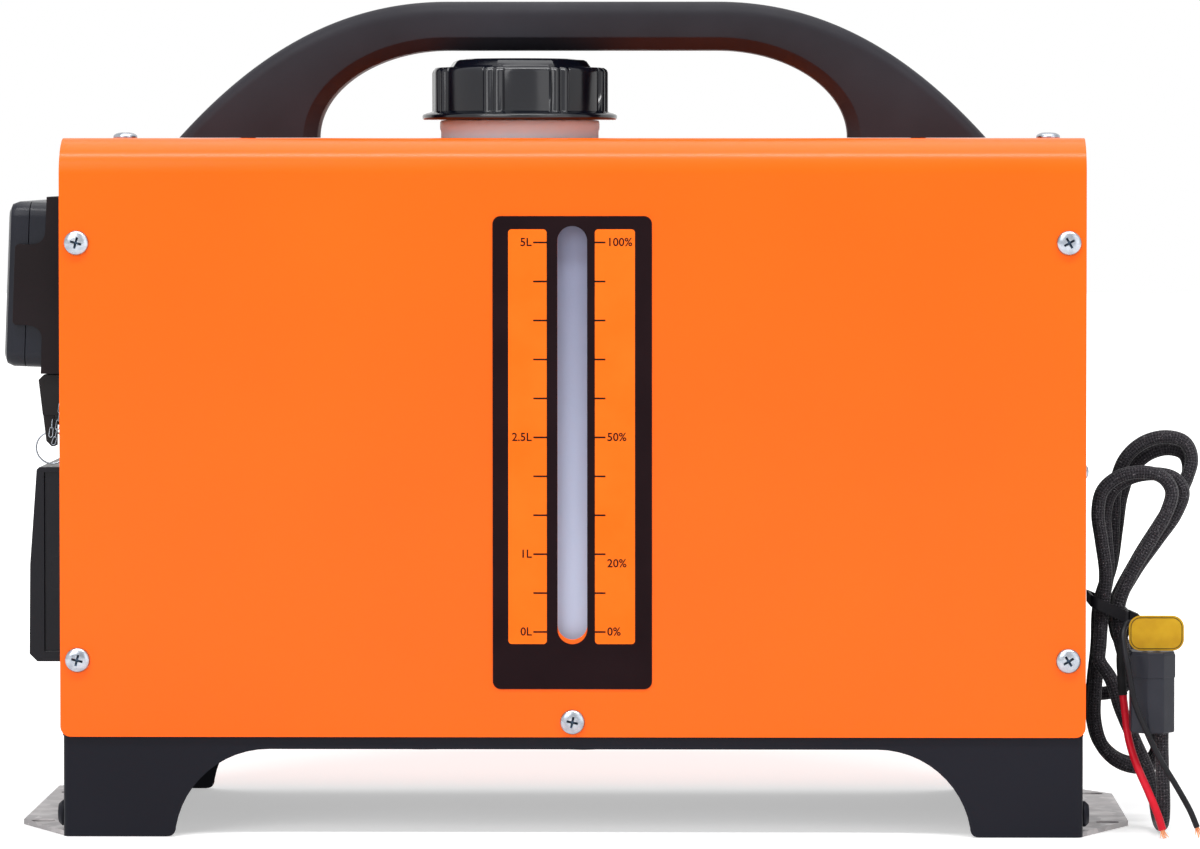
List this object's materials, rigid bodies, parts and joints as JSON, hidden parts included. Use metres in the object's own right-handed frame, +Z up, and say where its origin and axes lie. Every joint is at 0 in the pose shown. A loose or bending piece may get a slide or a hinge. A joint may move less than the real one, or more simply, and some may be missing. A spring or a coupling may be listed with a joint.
{
  "type": "portable diesel air heater",
  "caption": "Portable diesel air heater in a folded sheet case with a fuel tank, level gauge slot, carrying arch, louvred outlet, wall controller and tied supply cord.",
  "frame": {"origin": "on the floor, in the middle of the box round all of it but the supply cord and what hangs on it", "axes": "+X to the viewer's right along the case's long side, towards the end with the supply cord; +Y from the gauge's front to the back; +Z up"},
  "size_m": [0.462, 0.1489, 0.3195],
  "materials": {
    "orange_coat": "satin powder coat",
    "black_coat": "satin powder coat",
    "black_moulded": "fine grain",
    "black_gloss": "glossy",
    "label_film": "printed film",
    "tank_plastic": "translucent, natural",
    "zinc": "zinc plated",
    "steel": "galvanised",
    "cast": "as cast",
    "black_rubber": "matt",
    "cord_sleeve": "woven sleeve",
    "red_plastic": "glossy",
    "yellow_tag": "smooth",
    "board_green": "lacquered",
    "screen": "clear window over a dark screen"
  },
  "bodies": {
    "case": {"cover_shell": "orange_coat", "gauge_label": "label_film", "base_tray": "black_coat", "side_panel_left": "black_coat", "side_panel_right": "black_coat", "foot_bracket_left": "steel", "foot_bracket_right": "steel", "bracket_bolt_left": "black_coat", "bracket_bolt_right": "black_coat", "cover_screw_1": "zinc", "cover_screw_2": "zinc", "cover_screw_3": "zinc", "cover_screw_4": "zinc", "cover_screw_5": "zinc", "handle": "black_moulded", "handle_bolt_left": "zinc", "handle_bolt_right": "zinc", "fuel_tank": "tank_plastic", "fuel_tap": "black_moulded", "fuel_hose": "black_rubber", "fuel_line": "steel", "pump_body": "steel", "pump_mount": "black_rubber", "heater_lower_case": "black_moulded", "heater_upper_case": "black_moulded", "heat_exchanger": "cast", "burner_tube": "steel", "glow_plug": "zinc", "blower_motor": "steel", "control_board": "board_green", "exhaust_stub": "steel", "intake_stub": "black_moulded", "outlet_hood": "black_gloss", "controller_holder": "black_moulded", "controller_rear_shell": "black_gloss", "controller_front_shell": "black_gloss", "controller_lens": "screen", "remote_fob": "black_gloss", "cord_gland": "black_rubber", "cord_hank": "cord_sleeve", "cord_tail": "cord_sleeve", "cord_tie": "black_moulded", "fuse_holder": "black_moulded", "cord_tag": "yellow_tag", "red_wire": "red_plastic", "black_wire": "black_gloss"},
    "gasket": {"cap_gasket": "black_rubber"},
    "cap": {"tank_cap": "black_gloss"},
    "rotor": {"hot_air_fan": "black_moulded", "combustion_fan": "cast"},
    "plunger": {"pump_plunger": "zinc"},
    "link": {"louvre_link": "black_moulded"},
    "ring": {"split_ring": "zinc"},
    "vane_1": {"louvre_vane_1": "black_moulded"},
    "vane_2": {"louvre_vane_2": "black_moulded"},
    "vane_3": {"louvre_vane_3": "black_moulded"},
    "button_1": {"controller_button_1": "black_moulded"},
    "button_2": {"controller_button_2": "black_moulded"},
    "button_3": {"controller_button_3": "black_moulded"},
    "button_4": {"controller_button_4": "black_moulded"}
  },
  "joints": [
    {"name": "cap_rise", "type": "slide", "parent": "case", "child": "gasket", "axis": [0, 0, 1], "range_m": [0, 0.0033]},
    {"name": "cap_turn", "type": "hinge", "parent": "gasket", "child": "cap", "pos_m": [-0.01988, 0.00118, 0.29], "axis": [0, 0, 1], "range_deg": [0, 270]},
    {"name": "rotor_spin", "type": "hinge", "parent": "case", "child": "rotor", "pos_m": [0.06302, 0.00118, 0.099], "axis": [1, 0, 0], "continuous": true},
    {"name": "plunger_stroke", "type": "slide", "parent": "case", "child": "plunger", "axis": [0, 0, 1], "range_m": [0, 0.003], "stiffness_N_per_m": 300, "springref_m": -0.001},
    {"name": "vane_2_tilt", "type": "hinge", "parent": "case", "child": "vane_2", "pos_m": [-0.19498, 0.00118, 0.1024], "axis": [0, 1, 0], "range_deg": [-35, 35]},
    {"name": "vane_1_tilt", "type": "hinge", "parent": "case", "child": "vane_1", "pos_m": [-0.19498, 0.00118, 0.0844], "axis": [0, 1, 0], "range_deg": [-35, 35]},
    {"name": "vane_3_tilt", "type": "hinge", "parent": "case", "child": "vane_3", "pos_m": [-0.19498, 0.00118, 0.1204], "axis": [0, 1, 0], "range_deg": [-35, 35]},
    {"name": "link_level", "type": "hinge", "parent": "vane_1", "child": "link", "pos_m": [-0.18998, 0.00118, 0.0844], "axis": [0, 1, 0], "range_deg": [-35, 35]},
    {"name": "ring_swing", "type": "hinge", "parent": "case", "child": "ring", "pos_m": [-0.19828, -0.04582, 0.1527], "axis": [1, 0, 0], "range_deg": [-60, 60]},
    {"name": "button_1_press", "type": "slide", "parent": "case", "child": "button_1", "axis": [0.9993, 0, -0.0366], "range_m": [0, 0.0008], "stiffness_N_per_m": 300, "springref_m": -0.002},
    {"name": "button_2_press", "type": "slide", "parent": "case", "child": "button_2", "axis": [0.9993, 0, -0.0366], "range_m": [0, 0.0008], "stiffness_N_per_m": 300, "springref_m": -0.002},
    {"name": "button_3_press", "type": "slide", "parent": "case", "child": "button_3", "axis": [0.9993, 0, -0.0366], "range_m": [0, 0.0008], "stiffness_N_per_m": 300, "springref_m": -0.002},
    {"name": "button_4_press", "type": "slide", "parent": "case", "child": "button_4", "axis": [0.9993, 0, -0.0366], "range_m": [0, 0.0008], "stiffness_N_per_m": 300, "springref_m": -0.002}
  ],
  "couplings": [
    {"joint": "cap_rise", "follows": "cap_turn", "m_per_rad": 0.0006366},
    {"joint": "vane_2_tilt", "follows": "vane_1_tilt", "ratio": 1},
    {"joint": "vane_3_tilt", "follows": "vane_1_tilt", "ratio": 1},
    {"joint": "link_level", "follows": "vane_1_tilt", "ratio": -1}
  ]
}
